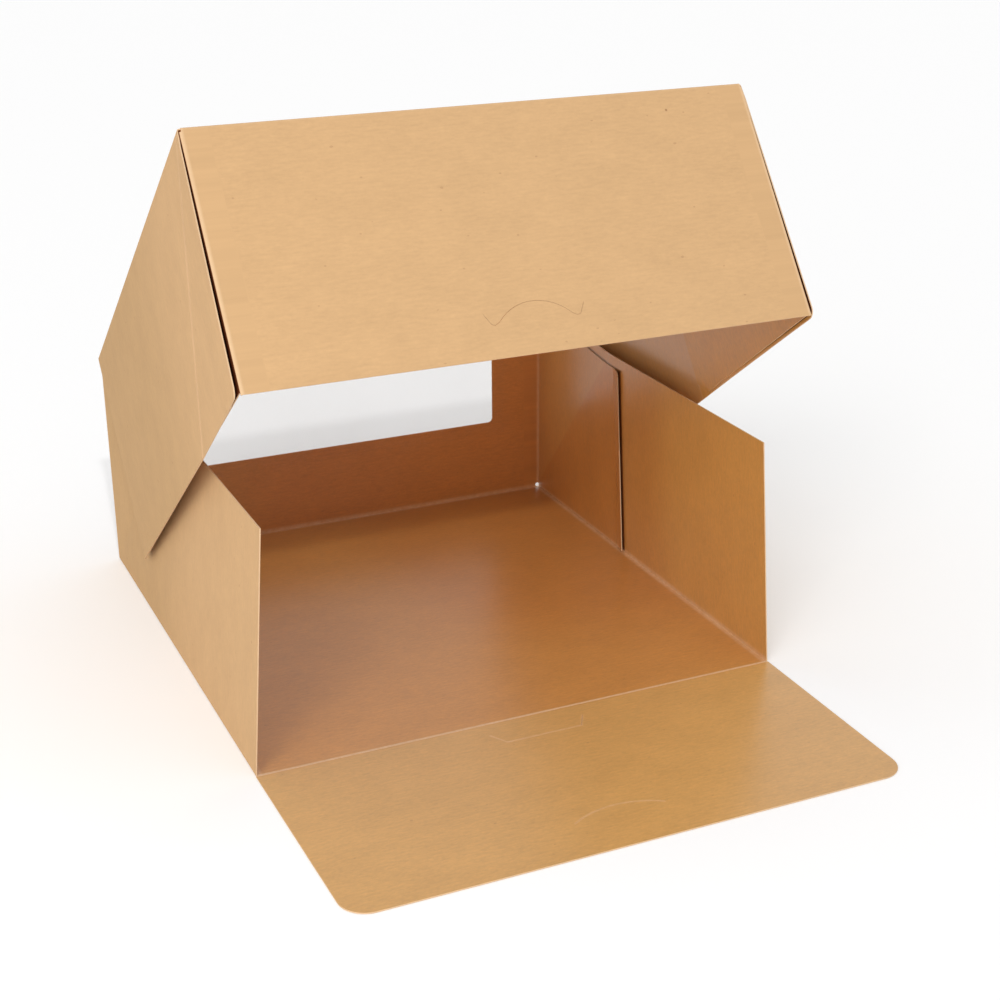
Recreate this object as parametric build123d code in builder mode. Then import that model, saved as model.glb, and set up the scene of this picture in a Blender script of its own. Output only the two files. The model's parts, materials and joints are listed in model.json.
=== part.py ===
from build123d import *

import math
import os

# A kraft cake box folded from one sheet, with its lid part open and its front flap lying flat.
# Millimetres. The origin is the middle of the bottom's underside, +Y runs to the hinge side, +Z is up.

# Board, folds, cuts and film
board = 0.6
fold_radius = 0.3
cut_width = 0.15
crease_width = 1.0
crease_depth = 0.15
film = 0.2
film_margin = 8.0

# Tray
tray_width = 280.0
tray_depth = 280.0
rear_wall_height = 125.0
side_wall_drop = 0.5
wall_lean = 9.0
wall_turn = 117.0
corner_relief = 1.3
corner_relief_inset = 0.5
corner_relief_height = 2.0

# Rear corner flaps, glued inside the side walls
rear_flap_length = 121.0
rear_flap_rake = 6.0
rear_flap_top_gap = 2.5
rear_flap_slope = 5.0
rear_flap_corner = 3.0
rear_flap_foot_gap = 1.5
rear_flap_loose = 8.0
rear_flap_lift_angle = 11.0
glue_bite = 0.1

# Window, which runs up the rear wall and over the fold into the lid
window_width = 212.0
window_sill = 50.5
window_reach = 232.0
window_corner = 3.0

# Lid
lid_open_angle = 36.5
lid_foot_gap = 2.6
hinge_gap = 0.5
lid_side_clearance = 0.4
lid_front_clearance = 0.5
lid_side_reveal = 1.4
lid_side_setback = 1.0
lid_side_taper = 8.0
lid_flap_length = 121.0
lid_flap_drop = 1.5
lid_flap_lower_trim = 1.5
lid_flap_chamfer = 9.0
lid_crease_angle = 34.0
lid_crease_start = 3.0
lid_side_flare = 1.4

# Thumb tab cut in the lid's front panel
tab_half_width = 18.0
tab_rise = 8.0
tab_foot_height = 17.0
tab_hook_width = 7.0
tab_hook_rise = 4.5
tab_hook_radius = 2.0

# Front flap
flap_top_gap = 1.2
flap_hinge_gap = 0.3
flap_corner = 13.0
flap_taper = 1.0
slot_half_width = 20.0
slot_distance = 20.0
slot_end_width = 5.0
slot_end_rise = 9.0
slot_corner = 2.0
notch_half_width = 23.0
notch_distance = 99.0
notch_rise = 7.0

# Sizes that follow from those above
half_width = tray_width / 2
half_depth = tray_depth / 2
outer_fold = fold_radius + board
wall_inside = half_width - board
rear_inside = half_depth - board
fold_height = outer_fold + fold_radius
straight_end = half_depth - fold_height
wall_turn_y = half_depth - wall_turn
rear_flap_foot = half_depth - rear_flap_length
rear_flat_half = wall_inside - outer_fold
side_wall_height = rear_wall_height - side_wall_drop
rear_flap_tall_end = side_wall_height - rear_flap_top_gap
rear_flap_low_end = rear_flap_tall_end - rear_flap_slope
lean_rise = side_wall_height - fold_height
window_rise = rear_wall_height - window_sill

hinge_y = half_depth - board / 2
hinge_z = rear_wall_height + hinge_gap + board / 2
flap_hinge_y = -half_depth - flap_hinge_gap - board / 2
lid_reach = hinge_y - flap_hinge_y + board / 2 + lid_front_clearance + board
lid_height = hinge_z + board / 2 - lid_foot_gap
lid_low = board / 2 - lid_height
lid_half = half_width + lid_side_clearance + 2 * board
lid_flap_outside = lid_half - board
lid_flat_half = lid_flap_outside - outer_fold
flap_length = hinge_z - board - flap_top_gap

crease_angle = math.radians(lid_crease_angle)
crease_top = board / 2 - outer_fold
lid_side_front = lid_side_reveal - lid_reach
crease_y = lid_side_front + lid_crease_start
crease_run = (crease_top - lid_low) * math.tan(crease_angle)
flare_reach = lid_crease_start * math.cos(crease_angle) + (crease_top - lid_low) * math.sin(crease_angle)
crease_plane = Plane(
    origin=(0, crease_y, crease_top),
    x_dir=(1, 0, 0),
    z_dir=(0, math.sin(crease_angle), -math.cos(crease_angle)),
).offset(-lid_crease_start)

lid_angle = math.radians(lid_open_angle)
hinge_frame = Plane(
    origin=(0, hinge_y, hinge_z),
    x_dir=(1, 0, 0),
    z_dir=(0, math.sin(lid_angle), math.cos(lid_angle)),
)


def on_lid(plane):
    """Carries a plane of the closed lid, measured from the hinge line, to the lid's resting angle."""
    return Plane(hinge_frame.location * plane.location)


def across(y):
    """A plane facing the front at a distance y along the depth, drawn in X and Z."""
    return Plane.XZ.offset(-y)


# The side walls lean in as far as they turn, and from there they stand more and more upright
# towards the rear corners along a soft diagonal crease. The space between the walls is therefore a
# leaning block joined with an upright one, and inset is how far each side of it is moved inwards.
def leaning_section(inset, rise):
    """Outline across the tray of the space between the leaning walls, up to a height of rise."""
    foot = half_width - inset
    head = foot - wall_lean * (rise - fold_height) / lean_rise
    Polyline((-foot, fold_height), (foot, fold_height), (head, rise), (-head, rise), close=True)


def upright_plan(inset, rear):
    """Outline in plan of the space between the upright walls, from where they turn to a rear line."""
    foot = half_width - inset
    turn = wall_lean * (rear - straight_end) / (straight_end - wall_turn_y)
    Polyline(
        (wall_lean - foot, wall_turn_y),
        (foot - wall_lean, wall_turn_y),
        (foot + turn, rear),
        (-foot - turn, rear),
        close=True,
    )


def return_strip(half, tip, wall):
    """Outline of a panel seen edge on, with a flap folded back towards tip at each of its ends."""
    side = 1 if tip > wall else -1
    inside = half - board
    outer = FilletPolyline((-half, tip), (-half, wall), (half, wall), (half, tip), radius=outer_fold)
    back = wall + side * board
    inner = FilletPolyline((inside, tip), (inside, back), (-inside, back), (-inside, tip), radius=fold_radius)
    Line(outer @ 1, inner @ 0)
    Line(inner @ 1, outer @ 0)


def flap_end(back, z):
    """Distance along the depth of a rear corner flap's raked free end, or of a line parallel to it."""
    return rear_flap_foot + back - rear_flap_rake * (z - fold_height) / lean_rise


def loose_end_plane(side):
    """The inside face of a rear corner flap's loose end, bent off the side wall."""
    bend_start = Vector(side * (half_width - 2 * board), flap_end(rear_flap_loose, fold_height), fold_height)
    bend = Vector(-side * wall_lean, -rear_flap_rake, lean_rise)
    inwards = Vector(-side * lean_rise, 0, -wall_lean)
    lifted = inwards.rotate(Axis((0, 0, 0), bend), -side * rear_flap_lift_angle)
    return Plane(origin=bend_start, x_dir=bend, z_dir=lifted)


# Both rear corner flaps. They follow the walls that they are glued to, and their free ends stand off.
with BuildPart() as corner_flaps:
    for inset, rear, mode in (
        (board - glue_bite, straight_end, Mode.ADD),
        (2 * board, straight_end + board, Mode.SUBTRACT),
    ):
        with BuildSketch(across(-half_depth)):
            with BuildLine():
                leaning_section(inset, rear_wall_height)
            make_face()
        extrude(amount=-half_depth - rear, mode=mode)
        with BuildSketch(Plane.XY.offset(fold_height)):
            with BuildLine():
                upright_plan(inset, rear)
            make_face()
        extrude(amount=rear_wall_height - fold_height, mode=mode)
    with BuildSketch(Plane.YZ.offset(-half_width)):
        with BuildLine():
            Polyline(
                (-half_depth, 0),
                (flap_end(rear_flap_loose, 0), 0),
                (flap_end(rear_flap_loose, rear_wall_height), rear_wall_height),
                (-half_depth, rear_wall_height),
                close=True,
            )
        make_face()
    extrude(amount=tray_width, mode=Mode.SUBTRACT)
    for side in (-1, 1):
        with BuildSketch(loose_end_plane(side)):
            with Locations((0, side * board / 2)):
                Rectangle(
                    2 * rear_wall_height,
                    2 * rear_flap_loose,
                    align=(Align.CENTER, Align.MAX if side == 1 else Align.MIN),
                )
        extrude(amount=-board)
    with BuildSketch(Plane.YZ.offset(-half_width)):
        with BuildLine():
            Polyline(
                (half_depth, rear_flap_foot_gap),
                (half_depth, rear_flap_tall_end),
                (straight_end, rear_flap_tall_end),
                (flap_end(0, rear_flap_low_end), rear_flap_low_end),
                (flap_end(0, rear_flap_foot_gap), rear_flap_foot_gap),
                close=True,
            )
        make_face()
    extrude(amount=tray_width, mode=Mode.INTERSECT)
    fillet(edges().filter_by(Axis.X).group_by(Axis.Y)[0].group_by(Axis.Z)[-1], rear_flap_corner)


# Tray: bottom, leaning side walls, rear wall with the window's lower part, rear corner flaps
with BuildPart() as tray:
    for inset, front, rear, rise, mode in (
        (0, -half_depth, straight_end, side_wall_height, Mode.ADD),
        (board, -half_depth - board, straight_end + board, rear_wall_height, Mode.SUBTRACT),
    ):
        with BuildSketch(across(front)):
            with BuildLine():
                leaning_section(inset, rise)
            make_face()
        extrude(amount=front - rear, mode=mode)
        with BuildSketch(Plane.XY.offset(fold_height)):
            with BuildLine():
                upright_plan(inset, rear)
            make_face()
        extrude(amount=rise - fold_height, mode=mode)
    with BuildSketch(across(straight_end)):
        for side in (-1, 1):
            with Locations((side * (half_width - board / 2), fold_height)):
                Rectangle(board, side_wall_height - fold_height, align=(Align.CENTER, Align.MIN))
    extrude(amount=straight_end - half_depth)
    with BuildSketch(across(-half_depth)):
        with BuildLine():
            return_strip(half_width, fold_height, 0)
        make_face()
    extrude(amount=-tray_depth)
    with BuildSketch(Plane.XY):
        with Locations((0, half_depth)):
            Rectangle(2 * rear_flat_half, 2 * outer_fold)
    extrude(amount=board, mode=Mode.SUBTRACT)
    with BuildSketch(Plane.YZ.offset(-rear_flat_half)):
        with BuildLine():
            foot_out = FilletPolyline(
                (straight_end, 0), (half_depth, 0), (half_depth, rear_wall_height), radius=outer_fold
            )
            foot_in = FilletPolyline(
                (rear_inside, rear_wall_height), (rear_inside, board), (straight_end, board),
                radius=fold_radius,
            )
            Line(foot_out @ 1, foot_in @ 0)
            Line(foot_in @ 1, foot_out @ 0)
        make_face()
    extrude(amount=2 * rear_flat_half)
    with BuildSketch(Plane.XY.offset(rear_flap_foot_gap)):
        with BuildLine():
            return_strip(wall_inside, straight_end, half_depth)
        make_face()
    extrude(amount=rear_flap_tall_end - rear_flap_foot_gap)
    add(corner_flaps.part)
    with BuildSketch(across(half_depth)):
        with Locations((0, rear_wall_height)):
            RectangleRounded(window_width, 2 * window_rise, window_corner)
    extrude(amount=2 * board, mode=Mode.SUBTRACT)
    with BuildSketch(across(half_depth)):
        for side in (-1, 1):
            with Locations((side * (rear_flat_half - corner_relief_inset), corner_relief_height)):
                Circle(corner_relief)
    extrude(amount=2 * board, mode=Mode.SUBTRACT)


# Front flap, hinged at the bottom's front edge and lying on the table
with BuildPart() as front_flap:
    with BuildSketch(Plane.YZ.offset(-half_width)):
        with BuildLine():
            flap_tip = flap_hinge_y - flap_length
            Polyline((flap_hinge_y, board), (flap_tip, board), (flap_tip, 0), (flap_hinge_y, 0))
            ThreePointArc((flap_hinge_y, 0), (flap_hinge_y + board / 2, board / 2), (flap_hinge_y, board))
        make_face()
    extrude(amount=tray_width)
    with BuildSketch(Plane.XY):
        with BuildLine():
            FilletPolyline(
                (-half_width, flap_hinge_y + board),
                (-half_width, flap_hinge_y),
                (-half_width + flap_taper, flap_tip),
                (half_width - flap_taper, flap_tip),
                (half_width, flap_hinge_y),
                (half_width, flap_hinge_y + board),
                radius=(0, 0, flap_corner, flap_corner, 0, 0),
                close=True,
            )
        make_face()
    extrude(amount=board, mode=Mode.INTERSECT)
    with BuildSketch(Plane.XY):
        with BuildLine():
            slot_y = flap_hinge_y - slot_distance
            FilletPolyline(
                (-slot_half_width - slot_end_width, slot_y + slot_end_rise),
                (-slot_half_width, slot_y),
                (slot_half_width, slot_y),
                (slot_half_width + slot_end_width, slot_y + slot_end_rise),
                radius=slot_corner,
            )
        trace(line_width=cut_width)
    extrude(amount=board, mode=Mode.SUBTRACT)
    with BuildSketch(Plane.XY):
        with BuildLine():
            notch_y = flap_hinge_y - notch_distance
            ThreePointArc(
                (-notch_half_width, notch_y), (0, notch_y + notch_rise), (notch_half_width, notch_y)
            )
        trace(line_width=cut_width)
    extrude(amount=board, mode=Mode.SUBTRACT)


def crease_outline():
    """Outline of a lid side panel's part in front of its soft crease, drawn from the side."""
    Polyline(
        (crease_y, crease_top),
        (crease_y + crease_run, lid_low),
        (lid_side_front, lid_low),
        (lid_side_front, crease_top),
        close=True,
    )


# Both side panels of the lid with its top. In front of a soft crease they flare out a little, so that
# a narrow gap shows between them and the corner flaps that they are glued to further back.
with BuildPart() as flared_fronts:
    for side in (-1, 1):
        with BuildSketch(on_lid(crease_plane)):
            with BuildLine():
                Polyline(
                    (side * lid_flap_outside, 0),
                    (side * lid_half, 0),
                    (side * (lid_half + 2 * lid_side_flare), 2 * flare_reach),
                    (side * (lid_flap_outside + 2 * lid_side_flare), 2 * flare_reach),
                    close=True,
                )
            make_face()
        extrude(amount=2 * lid_height)
    with BuildSketch(on_lid(Plane.YZ.offset(-2 * lid_half))):
        with BuildLine():
            crease_outline()
        make_face()
    extrude(amount=4 * lid_half, mode=Mode.INTERSECT)

with BuildPart() as lid_sides:
    with BuildSketch(on_lid(across(-lid_side_setback))):
        with BuildLine():
            return_strip(lid_half, lid_low, board / 2)
        make_face()
    extrude(amount=-lid_side_front - lid_side_setback)
    with BuildSketch(on_lid(Plane.YZ.offset(-lid_half))):
        with BuildLine():
            Polyline(
                (-lid_side_setback, -outer_fold),
                (-lid_side_setback, lid_low),
                (-lid_side_setback - lid_side_taper, lid_low),
                close=True,
            )
        make_face()
    extrude(amount=2 * lid_half, mode=Mode.SUBTRACT)
    with BuildSketch(on_lid(Plane.YZ.offset(-lid_half))):
        with BuildLine():
            crease_outline()
        make_face()
    extrude(amount=2 * lid_half, mode=Mode.SUBTRACT)
    add(flared_fronts.part)
    for side in (-1, 1):
        with BuildSketch(on_lid(Plane.YZ.offset(side * (lid_half + board)))):
            with BuildLine():
                Line((crease_y, crease_top), (crease_y + crease_run, lid_low))
            trace(line_width=crease_width)
        extrude(amount=-side * (board + crease_depth), mode=Mode.SUBTRACT)


# Lid: front panel with its corner flaps, top panel with a rounded hinge edge, side panels, window
with BuildPart() as lid:
    with BuildSketch(on_lid(Plane.XY.offset(lid_low))):
        with BuildLine():
            return_strip(lid_flap_outside, lid_flap_length - lid_reach, -lid_reach)
        make_face()
    extrude(amount=lid_height - board - lid_flap_drop)
    with BuildSketch(on_lid(Plane.YZ.offset(-lid_half))):
        with BuildLine():
            trim = lid_flap_length - lid_reach
            Polyline(
                (trim, lid_low - board),
                (trim, lid_low + lid_flap_chamfer),
                (trim - lid_flap_chamfer, lid_low + lid_flap_lower_trim),
                (outer_fold - lid_reach, lid_low + lid_flap_lower_trim),
                (outer_fold - lid_reach, lid_low - board),
                close=True,
            )
        make_face()
    extrude(amount=2 * lid_half, mode=Mode.SUBTRACT)
    with BuildSketch(on_lid(Plane.YZ.offset(-lid_flat_half))):
        with BuildLine():
            skin = FilletPolyline(
                (0, board / 2), (-lid_reach, board / 2), (-lid_reach, lid_low), radius=outer_fold
            )
            lining = FilletPolyline(
                (board - lid_reach, lid_low), (board - lid_reach, -board / 2), (0, -board / 2),
                radius=fold_radius,
            )
            Line(skin @ 1, lining @ 0)
            ThreePointArc(lining @ 1, (board / 2, 0), skin @ 0)
        make_face()
    extrude(amount=2 * lid_flat_half)
    add(lid_sides.part)
    with BuildSketch(on_lid(Plane.XY)):
        RectangleRounded(window_width, 2 * window_reach, window_corner)
    extrude(amount=board, both=True, mode=Mode.SUBTRACT)
    with BuildSketch(on_lid(across(-lid_reach))):
        with BuildLine():
            foot_z = lid_low + tab_foot_height
            hook_x = tab_half_width + tab_hook_width
            ThreePointArc((-tab_half_width, foot_z), (0, foot_z + tab_rise), (tab_half_width, foot_z))
            for side in (-1, 1):
                FilletPolyline(
                    (side * tab_half_width, foot_z),
                    (side * (tab_half_width + tab_hook_width / 2), foot_z - tab_hook_radius),
                    (side * hook_x, foot_z + tab_hook_rise),
                    radius=tab_hook_radius,
                )
        trace(line_width=cut_width)
    extrude(amount=-board, mode=Mode.SUBTRACT)


# Window film, in two parts that meet at the lid's fold
film_half = window_width / 2 + film_margin
with BuildPart() as rear_window_film:
    with BuildSketch(across(rear_inside)):
        with Locations((0, rear_wall_height)):
            Rectangle(2 * film_half, window_rise + film_margin, align=(Align.CENTER, Align.MAX))
    extrude(amount=film)

with BuildPart() as lid_window_film:
    with BuildSketch(on_lid(Plane.XY.offset(-board / 2))):
        with Locations((0, -lid_side_setback)):
            Rectangle(
                2 * film_half,
                window_reach + film_margin - lid_side_setback,
                align=(Align.CENTER, Align.MAX),
            )
    extrude(amount=-film)


os.makedirs("parts", exist_ok=True)
pieces = {
    "tray": tray,
    "front_flap": front_flap,
    "lid": lid,
    "rear_window_film": rear_window_film,
    "lid_window_film": lid_window_film,
}
for name, piece in pieces.items():
    piece.part.label = name
    export_step(piece.part, f"parts/{name}.step")
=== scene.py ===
"""The window cake box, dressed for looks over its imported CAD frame: kraft board, folds and clear film."""

import json
import logging
import math
from collections.abc import Callable
from dataclasses import dataclass
from enum import Enum

import bmesh
import bpy
from mathutils import Matrix, Vector
from mathutils.bvhtree import BVHTree


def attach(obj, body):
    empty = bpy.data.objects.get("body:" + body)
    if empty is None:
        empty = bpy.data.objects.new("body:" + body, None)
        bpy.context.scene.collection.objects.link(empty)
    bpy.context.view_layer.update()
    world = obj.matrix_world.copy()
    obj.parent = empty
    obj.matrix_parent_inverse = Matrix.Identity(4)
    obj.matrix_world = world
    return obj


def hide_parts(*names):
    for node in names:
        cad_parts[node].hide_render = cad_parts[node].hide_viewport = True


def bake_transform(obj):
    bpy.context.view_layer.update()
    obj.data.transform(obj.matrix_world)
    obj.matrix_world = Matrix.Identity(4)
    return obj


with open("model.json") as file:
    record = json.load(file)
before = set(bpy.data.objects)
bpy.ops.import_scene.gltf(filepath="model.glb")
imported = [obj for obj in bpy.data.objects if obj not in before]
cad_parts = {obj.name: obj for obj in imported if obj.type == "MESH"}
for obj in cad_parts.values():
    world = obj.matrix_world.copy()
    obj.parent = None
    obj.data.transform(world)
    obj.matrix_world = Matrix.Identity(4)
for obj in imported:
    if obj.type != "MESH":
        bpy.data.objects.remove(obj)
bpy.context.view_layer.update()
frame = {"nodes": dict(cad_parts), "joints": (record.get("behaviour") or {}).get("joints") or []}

log = logging.getLogger("cake_box")

MM = 0.001

Colour = tuple[float, float, float]
Point = tuple[float, float, float]
Flat = tuple[float, float]
# Sizes and places below are in millimetres, unless a name or docstring says metres.


class Side(Enum):
    """The three faces that a cut and folded board shows."""

    OUTER = 0
    INNER = 1
    CUT = 2


class Body(Enum):
    """The rigid bodies that the pieces ride on."""

    TRAY = "tray"
    LID = "lid"
    FLAP = "front_flap"


class Slot(Enum):
    """The record's material slots."""

    BOARD = "kraft_board"
    FILM = "clear_film"


def srgb(red: int, green: int, blue: int) -> Colour:
    """Linear colour of a screen colour.

    Args:
        red: Red, 0 to 255.
        green: Green, 0 to 255.
        blue: Blue, 0 to 255.

    Returns:
        The three linear values, 0 to 1.
    """
    return tuple(
        c / 12.92 if c <= 0.04045 else ((c + 0.055) / 1.055) ** 2.4
        for c in (red / 255, green / 255, blue / 255)
    )


class Amount:
    """A number that varies over a surface, which takes part in arithmetic as a number does."""

    def __init__(self, finish: "Finish", socket: bpy.types.NodeSocket) -> None:
        """Wraps an output socket of a finish's nodes."""
        self.finish = finish
        self.socket = socket

    def _math(self, operation: str, *values: "Amount | float") -> "Amount":
        """Adds one Math node and returns its result."""
        node = self.finish.node("ShaderNodeMath", {"operation": operation}, dict(enumerate(values)))
        return Amount(self.finish, node.outputs[0])

    def __add__(self, other: "Amount | float") -> "Amount":
        """Sum."""
        return self._math("ADD", self, other)

    def __radd__(self, other: float) -> "Amount":
        """Sum, reflected."""
        return self._math("ADD", other, self)

    def __sub__(self, other: "Amount | float") -> "Amount":
        """Difference."""
        return self._math("SUBTRACT", self, other)

    def __rsub__(self, other: float) -> "Amount":
        """Difference, reflected."""
        return self._math("SUBTRACT", other, self)

    def __mul__(self, other: "Amount | float") -> "Amount":
        """Product."""
        return self._math("MULTIPLY", self, other)

    def __rmul__(self, other: float) -> "Amount":
        """Product, reflected."""
        return self._math("MULTIPLY", other, self)

    def __truediv__(self, other: "Amount | float") -> "Amount":
        """Quotient."""
        return self._math("DIVIDE", self, other)

    def __abs__(self) -> "Amount":
        """Size without its sign."""
        return self._math("ABSOLUTE", self)

    def hypot(self, other: "Amount") -> "Amount":
        """Length of the right triangle's long side."""
        return self._math("SQRT", self * self + other * other)

    def least(self, other: "Amount | float") -> "Amount":
        """The smaller of two."""
        return self._math("MINIMUM", self, other)

    def most(self, other: "Amount | float") -> "Amount":
        """The larger of two."""
        return self._math("MAXIMUM", self, other)

    def rise(self, low: float, high: float) -> "Amount":
        """A soft step from 0 at low to 1 at high.

        Args:
            low: Value that gives 0.
            high: Value that gives 1; below low, the step falls.

        Returns:
            The step.
        """
        node = self.finish.node(
            "ShaderNodeMapRange",
            {"interpolation_type": "SMOOTHSTEP"},
            {"Value": self, "From Min": low, "From Max": high},
        )
        return Amount(self.finish, node.outputs[0])

    def within(self, low: float, high: float, soft: float = 0.1) -> "Amount":
        """1 between low and high and 0 outside, with soft ends."""
        return self.rise(low - soft, low + soft) * self.rise(high + soft, high - soft)


Place = tuple[Amount, Amount, Amount]


class Finish:
    """One material, built from nodes, with its places in millimetres."""

    def __init__(self, name: str) -> None:
        """Starts an empty material with one Principled shader.

        Args:
            name: The material's name.
        """
        self.material = bpy.data.materials.new(name)
        self.material.use_nodes = True
        self.tree = self.material.node_tree
        self.tree.nodes.clear()
        self.shader = self.node("ShaderNodeBsdfPrincipled")
        self.node("ShaderNodeOutputMaterial", inputs={"Surface": self.shader.outputs[0]})
        place = self.node("ShaderNodeTexCoord")
        split = self.node("ShaderNodeSeparateXYZ", inputs={0: place.outputs["Object"]})
        self.x, self.y, self.z = (Amount(self, s) * (1 / MM) for s in split.outputs)

    def node(self, kind: str, settings: dict | None = None, inputs: dict | None = None) -> bpy.types.Node:
        """Adds a node.

        Args:
            kind: Blender's node type.
            settings: Properties to set first.
            inputs: Values, amounts or sockets for its inputs, by name or number.

        Returns:
            The node.
        """
        node = self.tree.nodes.new(kind)
        for name, value in (settings or {}).items():
            setattr(node, name, value)
        for name, value in (inputs or {}).items():
            if isinstance(value, Amount):
                value = value.socket
            if isinstance(value, bpy.types.NodeSocket):
                self.tree.links.new(value, node.inputs[name])
            else:
                node.inputs[name].default_value = value
        return node

    def noise(self, place: Place, detail: float = 2.0) -> Amount:
        """Smooth noise, about 0 to 1, with features about 1 apart in place.

        Args:
            place: The three amounts that it varies with.
            detail: How many finer layers it has.

        Returns:
            The noise.
        """
        joined = self.node("ShaderNodeCombineXYZ", inputs=dict(enumerate(place)))
        node = self.node(
            "ShaderNodeTexNoise",
            {"noise_dimensions": "3D"},
            {"Vector": joined.outputs[0], "Scale": 1.0, "Detail": detail, "Roughness": 0.55},
        )
        return Amount(self, node.outputs[0])

    def mix(self, share: Amount, low: bpy.types.NodeSocket, high: Colour) -> bpy.types.NodeSocket:
        """Mixes a colour into another.

        Args:
            share: 0 for low, 1 for high.
            low: The colour that is there.
            high: The colour that is mixed in.

        Returns:
            The mixed colour's socket.
        """
        # The Mix node's sockets have the same names for every data type, so the colour ones go by number.
        node = self.node(
            "ShaderNodeMix",
            {"data_type": "RGBA", "clamp_factor": True},
            {0: share, 6: low, 7: (*high, 1.0)},
        )
        return node.outputs[2]

    def plain(self, colour: Colour) -> bpy.types.NodeSocket:
        """Gives a colour a socket.

        Args:
            colour: The colour.

        Returns:
            Its socket.
        """
        node = self.node("ShaderNodeRGB")
        node.outputs[0].default_value = (*colour, 1.0)
        return node.outputs[0]

    def shade(self, colour: bpy.types.NodeSocket, amount: Amount) -> bpy.types.NodeSocket:
        """Multiplies a colour by an amount."""
        node = self.node("ShaderNodeVectorMath", {"operation": "SCALE"}, {0: colour, "Scale": amount})
        return node.outputs[0]

    def dress(
        self, colour: bpy.types.NodeSocket, relief: Amount, roughness: Amount, gloss: float
    ) -> None:
        """Feeds the shader.

        Args:
            colour: Socket for the base colour.
            relief: Height of the surface's grain.
            roughness: How rough it is.
            gloss: How strongly it reflects.
        """
        bump = self.node(
            "ShaderNodeBump", inputs={"Strength": 0.12, "Distance": 0.2 * MM, "Height": relief}
        )
        self.tree.links.new(colour, self.shader.inputs["Base Color"])
        self.tree.links.new(bump.outputs[0], self.shader.inputs["Normal"])
        self.tree.links.new(roughness.socket, self.shader.inputs["Roughness"])
        self.shader.inputs["Specular IOR Level"].default_value = gloss


@dataclass(frozen=True)
class LidFrame:
    """The closed lid's own directions, measured from the hinge line at the rest pose."""

    pivot: Vector
    angle: float

    @classmethod
    def from_joint(cls) -> "LidFrame":
        """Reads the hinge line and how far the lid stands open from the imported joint."""
        joint = next(j for j in frame["joints"] if j["name"] == "lid_hinge")
        return cls(Vector(joint["pos_m"]), math.radians(-joint["range_deg"][0]))

    @property
    def matrix(self) -> Matrix:
        """Carries a point of the closed lid, measured from the hinge line, to the rest pose."""
        return Matrix.Translation(self.pivot) @ Matrix.Rotation(-self.angle, 4, "X")

    def flat(self, finish: Finish) -> Place:
        """Gives the place in the closed lid's directions.

        Args:
            finish: The finish that asks for it.

        Returns:
            The place as amounts, in millimetres from the hinge line.
        """
        back, up = finish.y - self.pivot.y / MM, finish.z - self.pivot.z / MM
        cos, sin = math.cos(self.angle), math.sin(self.angle)
        return finish.x, back * cos - up * sin, back * sin + up * cos


LID = LidFrame.from_joint()


def from_segment(u: Amount, v: Amount, start: Flat, end: Flat) -> Amount:
    """Distance from a straight piece of a line, in a plane.

    Args:
        u: First direction in the plane.
        v: Second direction in the plane.
        start: One end of the piece.
        end: Its other end.

    Returns:
        The distance.
    """
    du, dv = end[0] - start[0], end[1] - start[1]
    share = ((u - start[0]) * du + (v - start[1]) * dv) / (du * du + dv * dv)
    share = share.most(0.0).least(1.0)
    return (u - start[0] - share * du).hypot(v - start[1] - share * dv)


Field = Callable[[Amount, Amount, Amount], Amount]

# A mark has its full strength up to this share of its width.
CORE = 0.25
# A tint's width: over 1, so that about a quarter of the tint stays on the rest of its side of the board.
TINT_WIDTH = 1.35
# Distance that takes a mark off the faces and stretches that it isn't on.
FAR = 9


@dataclass(frozen=True)
class Mark:
    """A line or patch on the board with a colour of its own: wear, a speck, painted highlights, sheen and
    shade.

    Attributes:
        away: Gives the distance from the mark at a place, in millimetres.
        colour: The mark's colour.
        width: Distance at which the mark has faded out.
        strength: How much of its colour shows at its middle.
        patchy: How much of it wear has taken away in places.
        under_grain: Whether the board's grain still shows over it.
    """

    away: Field
    colour: Colour
    width: float
    strength: float
    patchy: float = 0.0
    under_grain: bool = False

    @classmethod
    def painted_light_patch(cls, inside: Field, colour: Colour, strength: float, patchy: float = 0.0) -> "Mark":
        """Makes a patch of painted shade or sheen that covers the grain.

        Args:
            inside: Gives 1 inside the patch and 0 outside.
            colour: The patch's colour.
            strength: How much of its colour shows.
            patchy: How much of it wear has taken away in places.

        Returns:
            The mark.
        """
        return cls(lambda x, y, z: 1 - inside(x, y, z), colour, 1.0, strength, patchy)

    @classmethod
    def tint(cls, inside: Field, colour: Colour, strength: float) -> "Mark":
        """Makes a broad tint of painted light or shade, under the board's grain.

        Args:
            inside: Gives 1 where the tint is whole and 0 where it has faded out.
            colour: The tinted board's colour.
            strength: How much of its colour shows.

        Returns:
            The mark.
        """
        return cls(lambda x, y, z: 1 - inside(x, y, z), colour, TINT_WIDTH, strength, under_grain=True)

    def share(self, finish: Finish, place: Place) -> Amount:
        """How much of the mark shows at a place.

        Args:
            finish: The finish that it is part of.
            place: The place in millimetres.

        Returns:
            0 for none, 1 for all of it.
        """
        share = self.away(*place).rise(self.width, self.width * CORE) * self.strength
        if self.patchy:
            patches = finish.noise(tuple(p * 0.3 for p in place), 3.0).rise(0.34, 0.62)
            share = share * (1 - self.patchy + self.patchy * patches)
        return share


@dataclass(frozen=True)
class KraftTone:
    """How one side of the board looks: its colour, gloss and how strongly its fibres show."""

    colour: Colour
    roughness: float
    gloss: float
    grain: float
    clouds: float
    grit: float


TONES = {
    Side.OUTER: KraftTone(
        (0.587, 0.366, 0.186), roughness=0.80, gloss=0.12, grain=0.20, clouds=0.14, grit=0.10
    ),
    Side.INNER: KraftTone(
        (0.590, 0.284, 0.075), roughness=0.31, gloss=1.00, grain=0.38, clouds=0.20, grit=0.26
    ),
    Side.CUT: KraftTone(
        (0.660, 0.455, 0.275), roughness=0.90, gloss=0.10, grain=0.20, clouds=0.10, grit=0.10
    ),
}


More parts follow.
